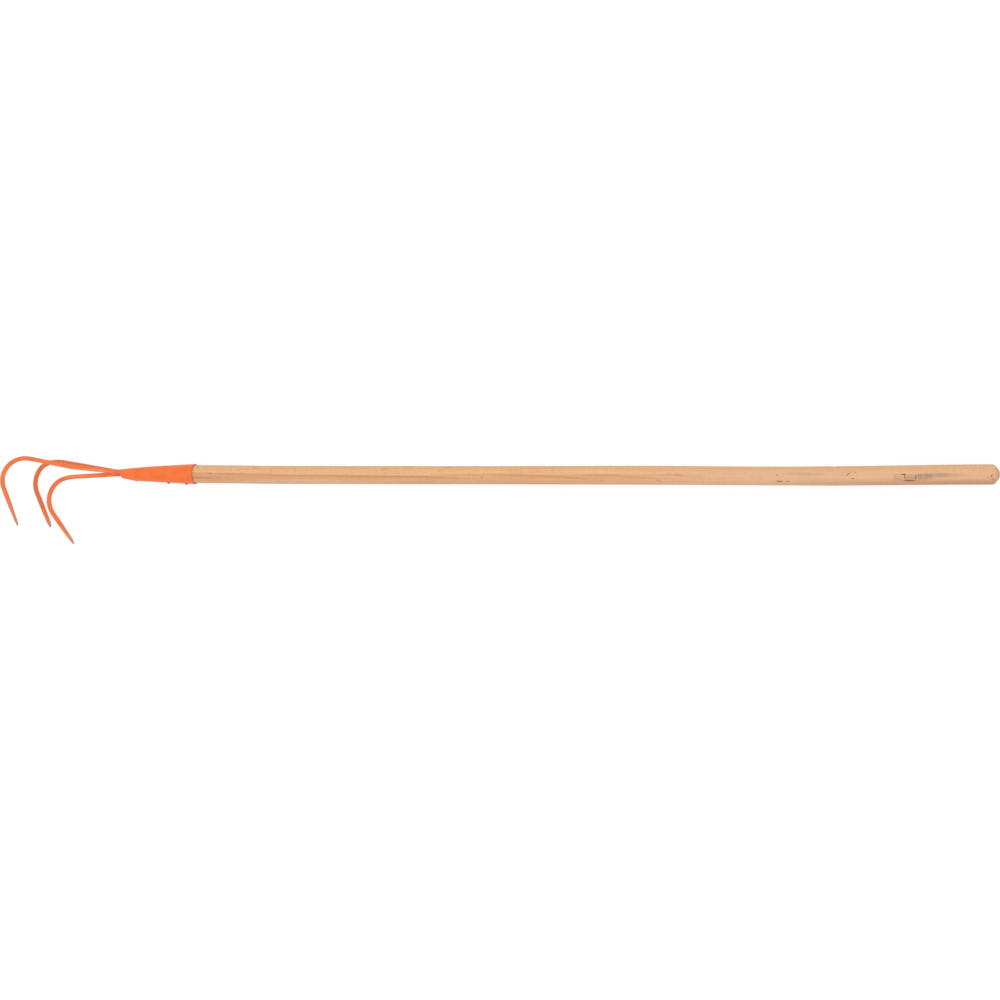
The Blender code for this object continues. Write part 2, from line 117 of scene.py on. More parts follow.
world = bpy.data.worlds.new("studio")
world.use_nodes = True
scene.world = world
tree = world.node_tree
tree.nodes.clear()
sky_way = add_node(tree, "ShaderNodeTexCoord").outputs["Generated"]
sky_height = add_node(tree, "ShaderNodeSeparateXYZ", {0: sky_way}).outputs["Z"]
horizon_level, zenith_level = 0.76, 0.86
# a Map Range takes the span from its input 1 to its input 2 to the span from input 3 to input 4
sky_level = add_node(tree, "ShaderNodeMapRange", {0: sky_height, 3: horizon_level, 4: zenith_level})
sky_light = add_node(tree, "ShaderNodeBackground", {"Color": linear("FFFFFF"),
                                                    "Strength": sky_level.outputs[0]})
sky_seen = add_node(tree, "ShaderNodeBackground", {"Color": linear("FFFFFF"), "Strength": 1.0})
sky = add_node(tree, "ShaderNodeMixShader", {0: plain_rays(tree), 1: sky_light.outputs[0],
                                             2: sky_seen.outputs[0]})
add_node(tree, "ShaderNodeOutputWorld", {"Surface": sky.outputs[0]})

paper = bpy.data.materials.new("white_paper")
paper.use_nodes = True
tree = paper.node_tree
tree.nodes.clear()
own_white = 0.74                # what the camera sees of the paper besides the light on it
paper_face = add_node(tree, "ShaderNodeBsdfDiffuse", {"Color": linear("E7E7E7")})
paper_dim = add_node(tree, "ShaderNodeBsdfDiffuse", {"Color": linear("999999")})
paper_glow = add_node(tree, "ShaderNodeEmission", {"Color": linear("FFFFFF"),
                                                   "Strength": own_white})
paper_seen = add_node(tree, "ShaderNodeAddShader", {0: paper_dim.outputs[0],
                                                    1: paper_glow.outputs[0]})
paper_mix = add_node(tree, "ShaderNodeMixShader", {0: plain_rays(tree), 1: paper_face.outputs[0],
                                                   2: paper_seen.outputs[0]})
add_node(tree, "ShaderNodeOutputMaterial", {"Surface": paper_mix.outputs[0]})

bpy.ops.mesh.primitive_plane_add(size=30.0)
floor = bpy.context.object
floor.name = "floor"
floor.data.materials.append(paper)

lamp = bpy.data.objects.new("soft_lamp", bpy.data.lights.new("soft_lamp", "AREA"))
lamp.data.shape = "DISK"
lamp.data.size = 2.2
lamp.data.energy = 17.0
lamp.location = (0.2, 0.15, 2.7)
lamp.rotation_euler = (Vector((0, 0, 0)) - lamp.location).to_track_quat("-Z", "Y").to_euler()
bpy.context.collection.objects.link(lamp)


# Handle
# One shaft of steamed beech, turned and finished by hand, so that its thickness wanders a little.
# It is sanded, lightly oiled, bowed by a few millimetres, and driven into the socket on a taper.
handle_sides = 96
handle_step = 0.006
handle_sections = (             # distance from the mouth and diameter, in millimetres
    (-73.9, 12.5), (-70.9, 18.8), (0.0, 26.3), (0.5, 26.3), (12, 26.25), (85, 26.15), (150, 26.0),
    (230, 25.85), (300, 25.75), (390, 25.7), (455, 25.65), (520, 25.85), (600, 26.1), (670, 26.3),
    (720, 26.0), (785, 25.7), (850, 25.8), (866, 25.8), (906, 26.25), (955, 26.4), (1010, 26.6),
    (1050, 26.9), (1090, 27.05), (1117.6, 27.07), (1118.1, 26.8), (1119.0, 25.5), (1119.7, 24.5),
    (1121.0, 22.2), (1122.3, 19.4), (1123.7, 15.9), (1124.6, 13.0), (1125.3, 10.6), (1125.8, 8.4),
    (1126.0, 6.6),
)
handle_nose = handle_sections[0][0] / 1000


def smooth_step(t):
    """0 up to 0 and 1 from 1 on, with a smooth rise between."""
    t = min(max(t, 0.0), 1.0)
    return t * t * (3 - 2 * t)


grip_length, sag_length = 0.505, 0.14
shaft_bow, grip_bow = 0.0008, 0.0013
butt_lift, lift_start, lift_length = 0.0004, 0.9, 0.2
same_place = 0.00001            # points closer together than this are one


def handle_bow(x):
    """How far the shaft's centre dips to the hook side of the socket's axis."""
    along_grip = max(1 - (handle_reach - x) / grip_length, 0.0)
    return (handle_sag * smooth_step(x / sag_length)
            + shaft_bow * math.sin(math.pi * max(x, 0.0) / handle_reach)
            + grip_bow * math.sin(math.pi * along_grip) ** 2
            - butt_lift * smooth_step((x - lift_start) / lift_length))


def between(table, x):
    """The value of a table of pairs at x, on straight lines between them."""
    for (x0, v0), (x1, v1) in zip(table, table[1:]):
        if x <= x1:
            return v0 + (v1 - v0) * max(x - x0, 0.0) / (x1 - x0)
    return table[-1][1]


def handle_stations():
    """Distances at which the shaft gets a ring: each one listed, and even steps between them."""
    stops = [x / 1000 for x, _ in handle_sections]
    rings = [stops[0]]
    for start, end in zip(stops, stops[1:]):
        count = max(1, round((end - start) / handle_step))
        rings += [start + (end - start) * (i + 1) / count for i in range(count)]
    return rings


def handle_front(x, y):
    """The point of the shaft's upper side at x and y."""
    radius = between(handle_sections, x * 1000) / 2000
    return Vector((x, y, math.sqrt(max(radius ** 2 - (y + handle_bow(x)) ** 2, 0.0))))


def start_piece(name):
    """Names the new primitive and opens edit mode on it, with its place and turn in its mesh."""
    piece = bpy.context.object
    piece.name = name
    bpy.ops.object.transform_apply(location=True, rotation=True, scale=True)
    bpy.ops.object.mode_set(mode="EDIT")
    bpy.ops.mesh.select_all(action="SELECT")
    return piece


def only(choose, kind="verts"):
    """Selects just the parts of the open mesh that the test picks."""
    piece = bpy.context.object
    bpy.ops.mesh.select_mode(type={"verts": "VERT", "edges": "EDGE"}[kind])
    bpy.ops.mesh.select_all(action="DESELECT")
    bpy.ops.object.mode_set(mode="OBJECT")
    mesh = piece.data
    for part in {"verts": mesh.vertices, "edges": mesh.edges}[kind]:
        part.select = choose(mesh, part)
    bpy.ops.object.mode_set(mode="EDIT")


def lay_down(piece, *modifiers, place=Matrix()):
    """Ends edit mode with the faces out, applies the modifiers and lays the piece in its place."""
    bpy.ops.mesh.select_all(action="SELECT")
    bpy.ops.mesh.remove_doubles(threshold=same_place)
    bpy.ops.mesh.normals_make_consistent(inside=False)
    bpy.ops.object.mode_set(mode="OBJECT")
    for kind, settings in modifiers:
        modifier = piece.modifiers.new(kind.lower(), kind)
        for name, value in settings.items():
            setattr(modifier, name, value)
        bpy.ops.object.modifier_apply(modifier=modifier.name)
    piece.matrix_world = tool_rest @ place
    bpy.ops.object.transform_apply(location=True, rotation=True, scale=True)
    bpy.ops.object.shade_smooth_by_angle(angle=math.radians(38))


def add_material(piece, name):
    """A new material on the piece, with its shader and its place along the tool's own axes."""
    material = bpy.data.materials.new(name)
    material.use_nodes = True
    piece.data.materials.clear()
    piece.data.materials.append(material)
    tree = material.node_tree
    place = add_node(tree, "ShaderNodeTexCoord").outputs["Object"]
    back = tool_rest.inverted()
    along = add_node(tree, "ShaderNodeMapping", {"Vector": place, "Location": back.translation,
                                                 "Rotation": back.to_euler()}).outputs[0]
    return tree, tree.nodes["Principled BSDF"], along


def add_mark(tree, along, under, tint, strength, centre, half_sizes, turn=(0, 0, 0), core=0.35):
    """Lays one soft-edged mark over a colour. core is the share of its size that is all tint."""
    near = add_node(tree, "ShaderNodeMapping", {"Vector": along, "Location": centre,
                                                "Rotation": turn, "Scale": half_sizes},
                    vector_type="TEXTURE")
    depth = add_node(tree, "ShaderNodeTexGradient", {0: near.outputs[0]}, gradient_type="SPHERICAL")
    share = add_node(tree, "ShaderNodeMapRange", {0: depth.outputs[1], 2: 1 - core, 4: strength},
                     interpolation_type="SMOOTHSTEP")
    return add_node(tree, "ShaderNodeMix", {0: share.outputs[0], 6: under, 7: linear(tint)},
                    data_type="RGBA").outputs[2]


bpy.ops.mesh.primitive_circle_add(vertices=handle_sides, radius=0.5, fill_type="NGON",
                                  rotation=(0, math.pi / 2, 0), location=(handle_nose, 0, 0))
handle = start_piece("turned_handle")
thickness = 1.0
last = Vector((handle_nose, 0, 0))
for x in handle_stations():
    centre = Vector((x, -handle_bow(x), 0))
    if x > handle_nose:
        bpy.ops.mesh.extrude_region_move(TRANSFORM_OT_translate={"value": centre - last})
    growth = between(handle_sections, x * 1000) / 1000 / thickness
    bpy.ops.transform.resize(value=(1, growth, growth), center_override=centre)
    thickness *= growth
    last = centre

# two knocks that the shaft has taken: where each is, how far in it goes and how far it spreads
for x, y, depth, spread in ((0.3803, 0.0101, 0.0011, 0.0075), (0.9130, 0.0106, 0.0005, 0.0060)):
    knock = handle_front(x, y)
    handle.update_from_editmode()
    closest = min((v.co.copy() for v in handle.data.vertices), key=lambda p: (p - knock).length)
    only(lambda mesh, vertex: (vertex.co - closest).length < same_place)
    inward = Vector((0, -closest.y - handle_bow(x), -closest.z)).normalized()
    bpy.ops.transform.translate(value=inward * depth, use_proportional_edit=True,
                                proportional_edit_falloff="SMOOTH", proportional_size=spread)
lay_down(handle)
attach(handle, "root")
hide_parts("handle")


def along_shaft(tree, reach, table):
    """A number that changes along the shaft, from a table of distances from the mouth in metres."""
    start, end = table[0][0], table[-1][0]
    low, high = min(v for _, v in table), max(v for _, v in table)
    stops = [((x - start) / (end - start), [(v - low) / (high - low)] * 3 + [1.0])
             for x, v in table]
    at = add_node(tree, "ShaderNodeMapRange", {0: reach, 1: start, 2: end})
    ramp = add_node(tree, "ShaderNodeValToRGB", {0: at.outputs[0]}, stops)
    return add_node(tree, "ShaderNodeMapRange", {0: ramp.outputs[0], 3: low, 4: high}).outputs[0]


# Oiled beech: broad growth rings that run nearly along the shaft, each ending in a thin darker line
# of late wood, short brown ray flecks, and fine fibres. Beech has an IOR near 1.5, and the rubbed
# oil leaves it dull, at a roughness of 0.54 to 0.66.
tree, shader, along = add_material(handle, "oiled_beech")
apart = add_node(tree, "ShaderNodeSeparateXYZ", {0: along})
to_mm = 1000.0
in_mm = add_node(tree, "ShaderNodeMath", {0: apart.outputs["Y"], 1: to_mm}, operation="MULTIPLY")
ring_drift = along_shaft(tree, apart.outputs["X"], (        # how far the rings have moved, in mm
    (-0.07, -5.5), (0.068, -1.2), (0.153, 1.7), (0.227, 2.4), (0.300, 3.1), (0.344, 3.5),
    (0.378, 4.7), (0.420, 7.8), (0.461, 10.9), (0.495, 12.3), (0.547, 14.6), (0.581, 19.0),
    (0.609, 20.1), (0.652, 23.6), (0.690, 26.0), (0.712, 28.2), (0.811, 36.5), (0.848, 38.5),
    (0.950, 43.2), (1.126, 47.8)))
wander_place = add_node(tree, "ShaderNodeMapping", {"Vector": along, "Scale": (7, 90, 90)})
wander = add_node(tree, "ShaderNodeTexNoise", {"Vector": wander_place.outputs[0], "Scale": 1.0,
                                               "Detail": 2.0})
# how far out from the heart of the tree a point lies, in millimetres: the rings drift and wander
# along the shaft, and across it they are arcs
ring_wander, ring_radius = 1.4, 70.0
ring = add_node(tree, "ShaderNodeMath", {0: wander.outputs[0], 1: ring_wander, 2: ring_drift},
                operation="MULTIPLY_ADD")
ring = add_node(tree, "ShaderNodeMath", {0: in_mm.outputs[0], 1: ring.outputs[0]}, operation="ADD")
curved = add_node(tree, "ShaderNodeMath", {0: apart.outputs["Z"], 1: 2.0}, operation="POWER")
ring = add_node(tree, "ShaderNodeMath", {0: curved.outputs[0], 1: to_mm ** 2 / (2 * ring_radius),
                                         2: ring.outputs[0]}, operation="MULTIPLY_ADD")
# each ring reddens up to its edge and the next starts pale, and a thin line lies along the edge
ring_low, ring_high = -20.1, 65.9
ring_bands, ring_lines = [], []
for edge in (-15.6, -7.6, 1.9, 12.7, 21.2, 27.5, 38.5, 46.9, 54.9, 63.4):
    for place, code in ((edge - 4.4, "E1A679"), (edge - 0.6, "DC9C6F"), (edge + 0.6, "E3AC7E")):
        ring_bands.append(((place - ring_low) / (ring_high - ring_low), linear(code)))
    for place, code in ((edge - 2.6, "FFFFFF"), (edge - 0.5, "EFE8DD"), (edge + 0.5, "FFFFFF")):
        ring_lines.append(((place - ring_low) / (ring_high - ring_low), linear(code)))
ring_at = add_node(tree, "ShaderNodeMapRange", {0: ring.outputs[0], 1: ring_low, 2: ring_high})
bands = add_node(tree, "ShaderNodeValToRGB", {0: ring_at.outputs[0]}, ring_bands)
lines = add_node(tree, "ShaderNodeValToRGB", {0: ring_at.outputs[0]}, ring_lines)
line_depth = along_shaft(tree, apart.outputs["X"], (
    (-0.07, 0.1), (0.07, 0.2), (0.15, 0.35), (0.20, 0.6), (0.24, 1.05), (0.33, 1.15), (0.38, 0.6),
    (0.485, 0.9), (0.62, 0.8), (0.70, 0.5), (0.78, 0.15), (1.126, 0.15)))
banded = add_node(tree, "ShaderNodeMix", {0: line_depth, 6: bands.outputs[0], 7: lines.outputs[0]},
                  data_type="RGBA", blend_type="MULTIPLY").outputs[2]

# the saw met the rings squarely on the upper half, which is a plain tan; below its border, whose
# place across the shaft is given in millimetres, they are cut nearly flat and show
tan_border = along_shaft(tree, apart.outputs["X"], (
    (-0.07, 1.9), (0.068, 1.3), (0.153, -0.9), (0.217, -1.7), (0.290, -2.0), (0.345, -2.4),
    (0.385, -1.0), (0.450, -0.2), (0.500, -0.7), (0.560, -1.3), (0.600, -0.5), (0.650, -0.9),
    (0.700, 0.1), (0.850, 0.5), (1.126, 0.5)))
border_wander = 1.2
over_border = add_node(tree, "ShaderNodeMath", {0: in_mm.outputs[0], 1: tan_border},
                       operation="SUBTRACT")
over_border = add_node(tree, "ShaderNodeMath", {0: wander.outputs[0], 1: border_wander,
                                                2: over_border.outputs[0]},
                       operation="MULTIPLY_ADD")
plain_tan = add_node(tree, "ShaderNodeMapRange", {0: over_border.outputs[0], 1: -0.1, 2: 1.5},
                     interpolation_type="SMOOTHSTEP")
colour = add_node(tree, "ShaderNodeMix", {0: plain_tan.outputs[0], 6: banded, 7: linear("EBB988")},
                  data_type="RGBA").outputs[2]
low_side = add_node(tree, "ShaderNodeMapRange", {0: in_mm.outputs[0], 1: -5.5, 2: -8.5, 4: 0.8},
                    interpolation_type="SMOOTHSTEP")
colour = add_node(tree, "ShaderNodeMix", {0: low_side.outputs[0], 6: colour, 7: linear("E3B187")},
                  data_type="RGBA").outputs[2]

# towards the grip the wood is pinker and its rings are faint
grip_across = add_node(tree, "ShaderNodeMapRange", {0: in_mm.outputs[0], 1: -4.0, 2: 4.0})
grip_tint = add_node(tree, "ShaderNodeValToRGB", {0: grip_across.outputs[0]},
                     [(0.0, linear("E8BA94")), (1.0, linear("E8B78A"))])
grip = add_node(tree, "ShaderNodeMapRange", {0: apart.outputs["X"], 1: 0.58, 2: 0.80, 4: 0.85})
colour = add_node(tree, "ShaderNodeMix", {0: grip.outputs[0], 6: colour, 7: grip_tint.outputs[0]},
                  data_type="RGBA").outputs[2]
# fibres, each about 1.3 mm wide and 90 mm long here: the real ones are a tenth of that
fibre_place = add_node(tree, "ShaderNodeMapping", {"Vector": along, "Scale": (11, 760, 760)})
fibres = add_node(tree, "ShaderNodeTexNoise", {"Vector": fibre_place.outputs[0], "Scale": 1.0,
                                               "Detail": 4.0, "Roughness": 0.6})
fibre_tint = add_node(tree, "ShaderNodeValToRGB", {0: fibres.outputs[0]},
                      [(0.30, linear("EADFD4")), (0.48, linear("FAF7F4")),
                       (0.62, linear("FFFFFF"))])
colour = add_node(tree, "ShaderNodeMix", {0: 0.6, 6: colour, 7: fibre_tint.outputs[0]},
                  data_type="RGBA", blend_type="MULTIPLY").outputs[2]
# the lathe and the sanding belt left faint rings round the shaft, drawn 2 mm apart to show
turned_place = add_node(tree, "ShaderNodeMapping", {"Vector": along, "Scale": (620, 85, 85)})
turned = add_node(tree, "ShaderNodeTexNoise", {"Vector": turned_place.outputs[0], "Scale": 1.0,
                                               "Detail": 2.0})
turned_tint = add_node(tree, "ShaderNodeValToRGB", {0: turned.outputs[0]},
                       [(0.30, linear("E6D9CC")), (0.46, linear("FBF8F5")),
                        (0.60, linear("FFFFFF"))])
colour = add_node(tree, "ShaderNodeMix", {0: 0.2, 6: colour, 7: turned_tint.outputs[0]},
                  data_type="RGBA", blend_type="MULTIPLY").outputs[2]
# hands' dirt and painted shade make the low side of the grip darker
grip_soil_and_shade_side = add_node(tree, "ShaderNodeMapRange", {0: in_mm.outputs[0], 1: -5.0, 2: -12.5})
grip_soil_and_shade_end = add_node(tree, "ShaderNodeMapRange", {0: apart.outputs["X"], 1: 0.80, 2: 1.09})
grip_soil_and_shade = add_node(tree, "ShaderNodeMath", {0: grip_soil_and_shade_side.outputs[0], 1: grip_soil_and_shade_end.outputs[0]},
                  operation="MULTIPLY")
colour = add_node(tree, "ShaderNodeMix", {0: grip_soil_and_shade.outputs[0], 6: colour, 7: linear("DCD2CC")},
                  data_type="RGBA", blend_type="MULTIPLY").outputs[2]
# ray flecks, spindles 1 to 3 mm long and a few tenths wide on real beech, drawn 4 mm by 1 mm
fleck_place = add_node(tree, "ShaderNodeMapping", {"Vector": along, "Scale": (250, 1000, 1000)})
flecks = add_node(tree, "ShaderNodeTexVoronoi", {"Vector": fleck_place.outputs[0], "Scale": 1.0})
fleck_dark = add_node(tree, "ShaderNodeMapRange", {0: flecks.outputs["Distance"], 1: 0.44, 2: 0.20})
fleck_some = add_node(tree, "ShaderNodeSeparateColor", {0: flecks.outputs["Color"]})
fleck_some = add_node(tree, "ShaderNodeMapRange", {0: fleck_some.outputs[0], 1: 0.35, 2: 0.75})
fleck_side = add_node(tree, "ShaderNodeMapRange", {0: in_mm.outputs[0], 1: -2.0, 2: 6.0,
                                                   3: 0.30, 4: 0.55})
fleck_reach = add_node(tree, "ShaderNodeMapRange", {0: apart.outputs["X"], 1: 0.35, 2: 0.65,
                                                    3: 1.0, 4: 0.55})
fleck = fleck_dark
for share in (fleck_some, fleck_side, fleck_reach):
    fleck = add_node(tree, "ShaderNodeMath", {0: fleck.outputs[0], 1: share.outputs[0]},
                     operation="MULTIPLY")
colour = add_node(tree, "ShaderNodeMix", {0: fleck.outputs[0], 6: colour, 7: linear("A66C48")},
                  data_type="RGBA").outputs[2]

# Handling marks on the upper side, in millimetres: place along and across, half length and width,
# turn in degrees, tint and strength. Small ones are knocks with a slightly ragged edge, and long or
# wide ones are stains that fade out.
ragged_reach = 0.0009
ragged = add_node(tree, "ShaderNodeTexNoise", {"Vector": along, "Scale": 420.0, "Detail": 3.0})
ragged = add_node(tree, "ShaderNodeVectorMath", {0: ragged.outputs["Color"], 1: [ragged_reach] * 3,
                                                 2: along}, operation="MULTIPLY_ADD")
marked = add_node(tree, "ShaderNodeVectorMath", {0: ragged.outputs[0], 1: [ragged_reach / 2] * 3},
                  operation="SUBTRACT").outputs[0]
handle_marks = (
    (6.0, -5.7, 28.0, 2.7, 0, "C06E42", 0.62), (30.0, -6.3, 26.0, 2.1, 0, "C67C51", 0.45),
    (10.0, -4.2, 34.0, 3.4, 0, "CD8E63", 0.45), (66.0, -5.2, 60.0, 3.6, 0, "D7966A", 0.45),
    (160.0, -9.0, 60.0, 1.4, 0, "EFC29C", 0.35), (175.0, -11.5, 170.0, 4.5, 0, "E8D4C4", 0.25),
    (26.5, 0.7, 5.2, 0.8, 0, "8A5A3A", 0.7), (75.5, 0.9, 2.8, 0.7, 0, "96643F", 0.5),
    # the grey mark at 380.3 mm is painted shade in the knock there
    (289.0, 7.0, 7.5, 3.0, 0, "CFA080", 0.45), (380.3, 9.9, 5.8, 1.7, 0, "8F8070", 0.65),
    (427.1, -4.8, 2.4, 0.9, 0, "92623F", 0.6), (595.6, -9.3, 1.2, 0.9, 0, "7E5438", 0.5),
    (674.3, -8.9, 5.0, 0.9, 0, "9E7353", 0.5), (687.0, -0.6, 2.8, 0.7, 0, "A3764F", 0.45),
    (700.5, -1.6, 7.0, 0.8, -7, "9C7856", 0.55), (731.9, 0.2, 1.0, 0.9, 0, "8E6140", 0.35),
    (764.7, -0.9, 1.0, 0.9, 0, "8E6140", 0.5), (834.4, -2.0, 1.1, 1.0, 0, "7A5035", 0.65),
    (837.8, -10.2, 6.4, 0.75, 0, "3E2416", 0.95), (848.5, -10.2, 3.0, 0.6, 0, "50301C", 0.8),
    (872.0, -0.5, 42.0, 3.2, -1.2, "A98C76", 0.36), (928.5, -0.4, 5.0, 0.75, 38.3, "6E482E", 0.8),
    (937.9, 2.1, 0.9, 0.8, 0, "76492E", 0.75), (934.8, -6.5, 2.3, 1.0, -3.6, "64402A", 0.85),
    (940.2, -7.1, 3.0, 0.7, 10, "C69674", 0.4), (1012.0, -7.6, 38.0, 5.5, 0, "B48A6A", 0.45),
    (992.0, -3.6, 7.0, 5.0, 0, "A48C7A", 0.5), (1046.0, -1.8, 44.0, 4.2, 0, "A48A74", 0.62),
    (1027.0, -3.4, 19.0, 4.4, 0, "96806E", 0.6), (1000.4, -0.9, 5.0, 1.1, 0, "684628", 0.85),
    (1001.9, -3.4, 5.0, 0.9, -86, "684628", 0.8), (1008.4, -9.2, 11.0, 1.2, 0, "7A4C2A", 0.85),
    (1016.4, -4.8, 5.6, 0.9, -89, "6A4A30", 0.75), (1009.0, -4.6, 9.0, 5.0, 0, "B08A68", 0.5),
    (1113.9, -1.9, 1.4, 1.1, 30, "7A4A28", 0.75), (1112.9, -3.4, 2.6, 0.9, 55, "74451F", 0.8),
    (1108.6, -4.6, 1.0, 0.8, 0, "7A5035", 0.7), (1116.2, -7.6, 2.4, 0.8, -77, "6E4426", 0.5),
    (1114.6, -6.2, 4.0, 3.0, 0, "C58F6A", 0.45),
)
stain_length, stain_width, mark_depth = 11.0, 2.5, 0.004
patchy = add_node(tree, "ShaderNodeTexNoise", {"Vector": along, "Scale": 160.0, "Detail": 5.0,
                                               "Roughness": 0.6})
patchy = add_node(tree, "ShaderNodeMapRange", {0: patchy.outputs[0], 1: 0.34, 2: 0.62,
                                               3: 0.45, 4: 1.15})
for x, y, length, width, degrees, tint, strength in handle_marks:
    stain = length > stain_length or width > stain_width
    if stain:
        strength = add_node(tree, "ShaderNodeMath", {0: patchy.outputs[0], 1: strength},
                            operation="MULTIPLY").outputs[0]
    centre = handle_front(x / 1000, y / 1000)
    colour = add_mark(tree, along if stain else marked, colour, tint, strength, centre,
                      (length / 1000, width / 1000, mark_depth), (0, 0, math.radians(degrees)),
                      core=0.3 if stain else 0.5)
# the butt's chamfer is darker, partly from its end grain, which drinks more oil, and partly as
# painted shade
end_grain_and_shade = add_node(tree, "ShaderNodeMapRange", {0: apart.outputs["X"], 1: 1.1180, 2: 1.1245,
                                                  4: 0.5})
colour = add_node(tree, "ShaderNodeMix", {0: end_grain_and_shade.outputs[0], 6: colour, 7: linear("E3CBB6")},
                  data_type="RGBA", blend_type="MULTIPLY").outputs[2]
# dust and painted shade darken the shaft where it enters the socket
mouth_dust_and_shade = add_node(tree, "ShaderNodeMapRange", {0: apart.outputs["X"], 1: 0.0030, 2: 0.0004, 4: 0.1})
colour = add_node(tree, "ShaderNodeMix", {0: mouth_dust_and_shade.outputs[0], 6: colour, 7: linear("8C5C3E")},
                  data_type="RGBA").outputs[2]
tree.links.new(colour, shader.inputs["Base Color"])
rubbed = add_node(tree, "ShaderNodeMapRange", {0: fibres.outputs[0], 1: 0.3, 2: 0.7,
                                               3: 0.66, 4: 0.54})
tree.links.new(rubbed.outputs[0], shader.inputs["Roughness"])
shader.inputs["Specular IOR Level"].default_value = 0.3
grain = add_node(tree, "ShaderNodeMath", {0: fleck.outputs[0], 1: -0.6, 2: fibres.outputs[0]},
                 operation="MULTIPLY_ADD")
relief = add_node(tree, "ShaderNodeBump", {"Height": grain.outputs[0], "Strength": 0.35,
                                           "Distance": 0.00025})
tree.links.new(relief.outputs[0], shader.inputs["Normal"])


# Socket
# Sheet steel, 1.4 mm thick, rolled to a cone with an open seam along its back. Its narrow end is
# pinched round the three rods. It is sprayed with orange enamel straight on the bare steel.
socket_sides = 96
socket_length = 0.118
socket_mouth_radius = 0.01492
socket_wall = 0.0014
seam_gap = 0.0005
neck_x = -socket_length
lip_x, lip_lean = -0.1143, 0.064
pinch_back_length, pinch_length = 0.045, 0.026
neck_slack = 0.0012             # the neck's underside stands this much clear of the centre rod
rod_radius = 0.0033
rod_back, rod_side = 0.0032, 0.0062
rod_roots = (Vector((0, rod_back, rod_side)), Vector((0, rod_back, -rod_side)),
             Vector((0, -0.00005, 0)))
neck_radius = rod_radius + 0.0015   # the outside of the sheet where it is wrapped round a rod
lip_radius = rod_radius + 0.0001    # and at the lip, where it is beaten thin
cone_slack = 0.0007
cone_end_height = rod_back + neck_radius + cone_slack
cone_end_width = rod_side + neck_radius + cone_slack
mouth_nail_x, inner_nail_x, plug_x = -0.0136, -0.0412, -0.0909


def hull_over_rods(name, outer, centre, slack=0.0):
    """A skin stretched over the rods, from places along the outer and centre ones and radii."""
    for root in rod_roots:
        for x, radius in centre if root.z == 0 else outer:
            at = root + Vector((x, -slack if root.z == 0 else 0, 0))
            bpy.ops.mesh.primitive_circle_add(vertices=64, radius=radius, location=at,
                                              rotation=(0, math.pi / 2, 0))
            if bpy.context.object.mode == "OBJECT":
                skin = start_piece(name)
    bpy.ops.mesh.select_all(action="SELECT")
    bpy.ops.mesh.convex_hull()
    return skin


outer_former = ((-0.065, neck_radius), (-0.103, neck_radius), (lip_x, lip_radius), (-0.120, 0.0024))
centre_former = ((-0.065, neck_radius), (-0.111, neck_radius), (-0.120, 0.0038))
former = hull_over_rods("neck_former", outer_former, centre_former, neck_slack)
bpy.ops.object.mode_set(mode="OBJECT")
bpy.ops.object.select_all(action="DESELECT")
bpy.ops.mesh.primitive_circle_add(vertices=socket_sides, radius=socket_mouth_radius,
                                  fill_type="NOTHING", rotation=(0, math.pi / 2, 0))
socket = start_piece("rolled_socket")
# places of its rings, which crowd together in the neck
rings = [-0.0006, -0.0015, -0.004, -0.008, -0.014, -0.022, -0.031, -0.040, -0.050, -0.060]
rings += [-0.066, -0.071] + [-0.074 - 0.001 * i for i in range(46)]
at, high, wide = 0.0, socket_mouth_radius, socket_mouth_radius
for x in rings:
    share = x / neck_x
    next_high = socket_mouth_radius + (cone_end_height - socket_mouth_radius) * share
    next_wide = socket_mouth_radius + (cone_end_width - socket_mouth_radius) * share
    bpy.ops.mesh.extrude_edges_move(TRANSFORM_OT_translate={"value": (x - at, 0, 0)})
    bpy.ops.transform.resize(value=(1, next_high / high, next_wide / wide),
                             center_override=(x, 0, 0))
    at, high, wide = x, next_high, next_wide
bpy.ops.object.mode_set(mode="OBJECT")
pinched = socket.vertex_groups.new(name="pinched")
for vertex in socket.data.vertices:
    to_back = (1 + vertex.co.y / math.hypot(vertex.co.y, vertex.co.z)) / 2
    length = pinch_length + (pinch_back_length - pinch_length) * to_back
    pinched.add([vertex.index], smooth_step((neck_x + length - vertex.co.x) / length), "REPLACE")
wrap = socket.modifiers.new("beaten_neck", "SHRINKWRAP")
wrap.target = former
wrap.vertex_group = "pinched"
bpy.ops.object.modifier_apply(modifier=wrap.name)
socket.vertex_groups.clear()
bpy.data.objects.remove(former, do_unlink=True)
bpy.ops.object.mode_set(mode="EDIT")
bpy.ops.mesh.select_all(action="SELECT")
bpy.ops.mesh.bisect(plane_co=(lip_x, 0.0065, 0), plane_no=(-1, -lip_lean, 0), clear_outer=True)
# the row of edges along the back is widened to a strip, which is taken out to open the seam
only(lambda mesh, edge: all(abs(mesh.vertices[i].co.z) < same_place
                            and mesh.vertices[i].co.y > 0 for i in edge.vertices), "edges")
bpy.ops.mesh.bevel(offset=seam_gap / 2, segments=1, affect="EDGES")
bpy.ops.mesh.delete(type="FACE")
beaten = bpy.data.textures.new("beaten", "CLOUDS")
beaten.noise_scale = 0.02
lay_down(socket, ("DISPLACE", {"texture": beaten, "strength": 0.00025, "mid_level": 0.5,
                               "texture_coords": "LOCAL"}),
         ("SOLIDIFY", {"thickness": socket_wall, "offset": -1.0}),
         ("BEVEL", {"width": 0.00025, "segments": 2, "limit_method": "ANGLE",
                    "angle_limit": math.radians(50)}))
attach(socket, "root")
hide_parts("socket")


